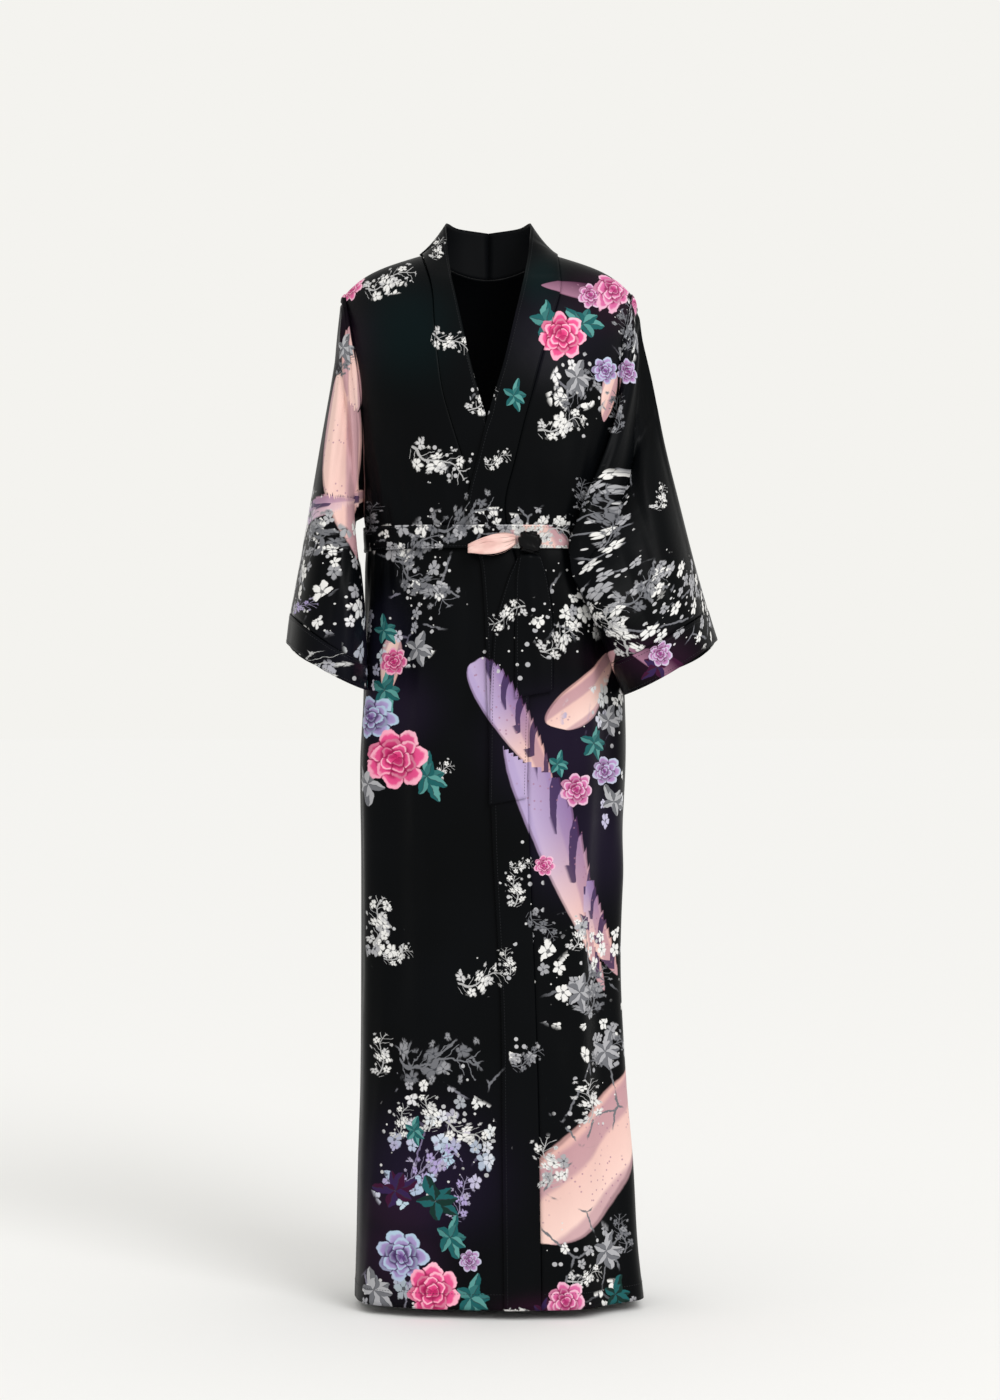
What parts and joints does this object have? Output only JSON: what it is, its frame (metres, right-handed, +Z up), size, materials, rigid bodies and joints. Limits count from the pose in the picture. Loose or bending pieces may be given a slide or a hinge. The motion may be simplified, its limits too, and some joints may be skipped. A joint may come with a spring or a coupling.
{
  "type": "kimono robe",
  "caption": "Long satin kimono robe in a worn pose, left front over right, with a self-fabric belt tied in a half bow at the front and wide bell sleeves.",
  "frame": {"origin": "base of the neck, on the line of the two shoulder seams, where the wearer's shoulders hold the robe up", "axes": "+Z up, the robe's front faces -Y, the wearer's left is +X"},
  "size_m": [0.5525, 0.2582, 1.3743],
  "materials": {
    "satin": "black satin with a floral print, soft sheen",
    "band_satin": "doubled black satin with a floral print, soft sheen",
    "belt_satin": "black satin with a floral print, soft sheen",
    "blush_satin": "pale blush part of the printed satin, soft sheen"
  },
  "bodies": {
    "root": {"back": "satin", "front_left": "satin", "front_right": "satin", "band_left": "band_satin", "band_right": "band_satin", "sleeve_left": "satin", "sleeve_right": "satin", "cuff_left": "band_satin", "cuff_right": "band_satin", "belt_sash": "belt_satin", "belt_knot": "belt_satin", "belt_loop": "blush_satin", "belt_tail_front": "belt_satin", "belt_tail_back": "belt_satin"}
  },
  "joints": []
}
